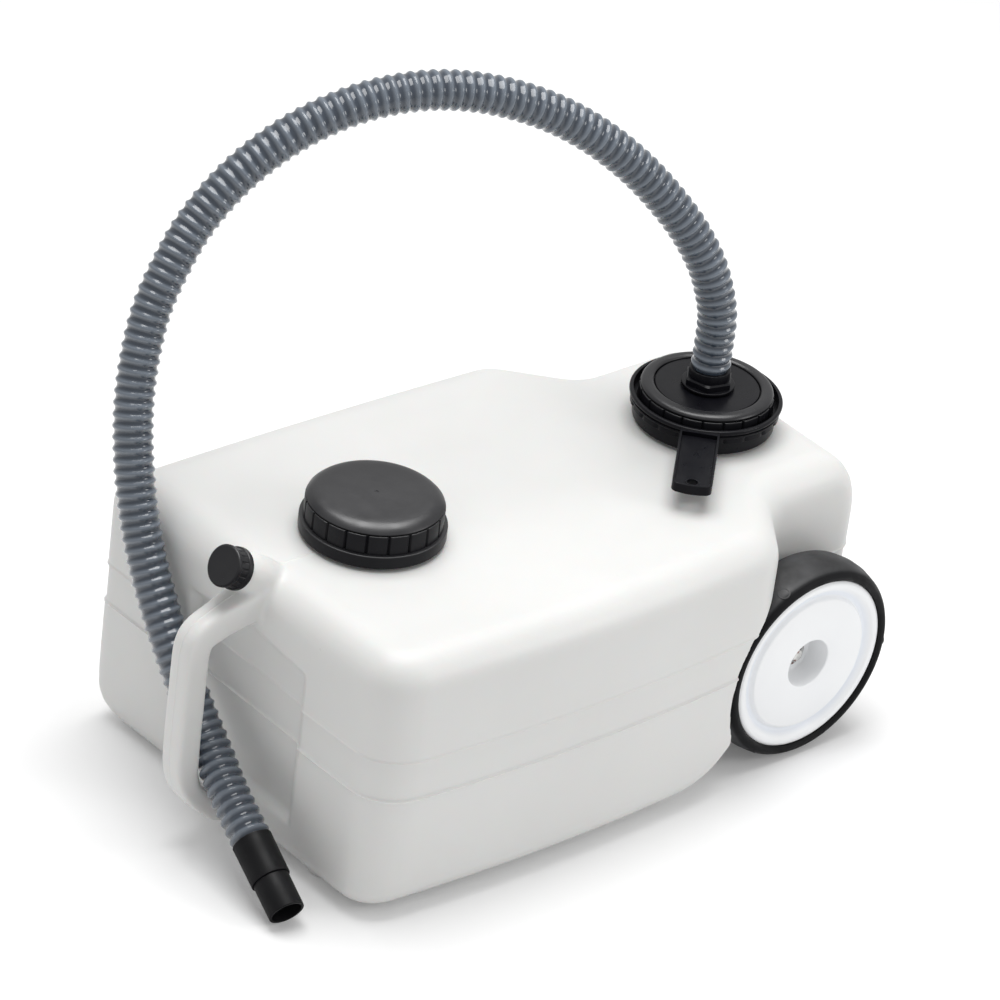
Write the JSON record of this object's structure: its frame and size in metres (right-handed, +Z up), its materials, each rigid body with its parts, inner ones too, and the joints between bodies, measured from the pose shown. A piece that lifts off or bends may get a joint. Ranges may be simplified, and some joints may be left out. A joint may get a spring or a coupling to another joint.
{
  "type": "wheeled water tank",
  "caption": "Portable moulded water tank with a bar handle, wheels, screw caps, a vent cap, a cap wrench and a ribbed hose.",
  "frame": {"origin": "on the ground, under the middle of the box round the tank, wheels and handle, without the hose", "axes": "+Z up, +X towards the wheels, -X towards the handle, -Y towards the side where the hose ends"},
  "size_m": [0.5939, 0.3484, 0.5338],
  "materials": {
    "tank_plastic": "satin white polyethylene",
    "rim_plastic": "glossy white",
    "cap_plastic": "satin black",
    "seal_rubber": "matt dark rubber",
    "hose_plastic": "glossy blue-grey ribbed plastic",
    "tyre_rubber": "smooth black",
    "zinc_steel": "zinc plated"
  },
  "bodies": {
    "tank": {"tank_body": "tank_plastic", "outlet_disc": "cap_plastic", "outlet_disc_seal": "seal_rubber", "hose_fitting": "cap_plastic", "fitting_washer": "seal_rubber", "fitting_locknut": "cap_plastic", "hose": "hose_plastic", "hose_end_sleeve": "cap_plastic", "hose_end_nozzle": "cap_plastic", "axle": "zinc_steel", "inner_spacer_left": "cap_plastic", "inner_spacer_right": "cap_plastic", "outer_washer_left": "zinc_steel", "outer_washer_right": "zinc_steel", "push_nut_left": "zinc_steel", "push_nut_right": "zinc_steel"},
    "filler_seal": {"filler_cap_seal": "seal_rubber"},
    "filler_cap": {"filler_cap": "cap_plastic"},
    "outlet_slip_ring": {"outlet_slip_ring": "cap_plastic"},
    "outlet_ring": {"outlet_cap_ring": "cap_plastic"},
    "wrench": {"cap_wrench": "cap_plastic"},
    "vent_seal": {"vent_cap_seal": "seal_rubber"},
    "vent_cap": {"vent_cap": "cap_plastic"},
    "wheel_left": {"wheel_rim_left": "rim_plastic", "tyre_left": "tyre_rubber"},
    "wheel_right": {"wheel_rim_right": "rim_plastic", "tyre_right": "tyre_rubber"}
  },
  "joints": [
    {"name": "left_wheel_spin", "type": "hinge", "parent": "tank", "child": "wheel_left", "pos_m": [0.2105, -0.1352, 0.0848], "axis": [0, 1, 0], "continuous": true},
    {"name": "right_wheel_spin", "type": "hinge", "parent": "tank", "child": "wheel_right", "pos_m": [0.2105, 0.1352, 0.0848], "axis": [0, 1, 0], "continuous": true},
    {"name": "filler_lift", "type": "slide", "parent": "tank", "child": "filler_seal", "axis": [0, 0, 1], "range_m": [0, 0.015]},
    {"name": "filler_turn", "type": "hinge", "parent": "filler_seal", "child": "filler_cap", "pos_m": [-0.122, 0, 0.25], "axis": [0, 0, 1], "range_deg": [0, 900]},
    {"name": "outlet_lift", "type": "slide", "parent": "tank", "child": "outlet_slip_ring", "axis": [0, 0, 1], "range_m": [0, 0.015]},
    {"name": "outlet_turn", "type": "hinge", "parent": "outlet_slip_ring", "child": "outlet_ring", "pos_m": [0.21, 0, 0.25], "axis": [0, 0, 1], "range_deg": [0, 900]},
    {"name": "wrench_lift", "type": "slide", "parent": "outlet_ring", "child": "wrench", "axis": [0, 0, 1], "range_m": [0, 0.03]},
    {"name": "vent_lift", "type": "slide", "parent": "tank", "child": "vent_seal", "axis": [-0.8829, 0, 0.4695], "range_m": [0, 0.0125]},
    {"name": "vent_turn", "type": "hinge", "parent": "vent_seal", "child": "vent_cap", "pos_m": [-0.2635, 0, 0.241], "axis": [-0.8829, 0, 0.4695], "range_deg": [0, 1800]}
  ],
  "couplings": [
    {"joint": "filler_lift", "follows": "filler_turn", "m_per_rad": 0.00095493},
    {"joint": "outlet_lift", "follows": "outlet_turn", "m_per_rad": 0.00095493},
    {"joint": "vent_lift", "follows": "vent_turn", "m_per_rad": 0.00039789}
  ]
}
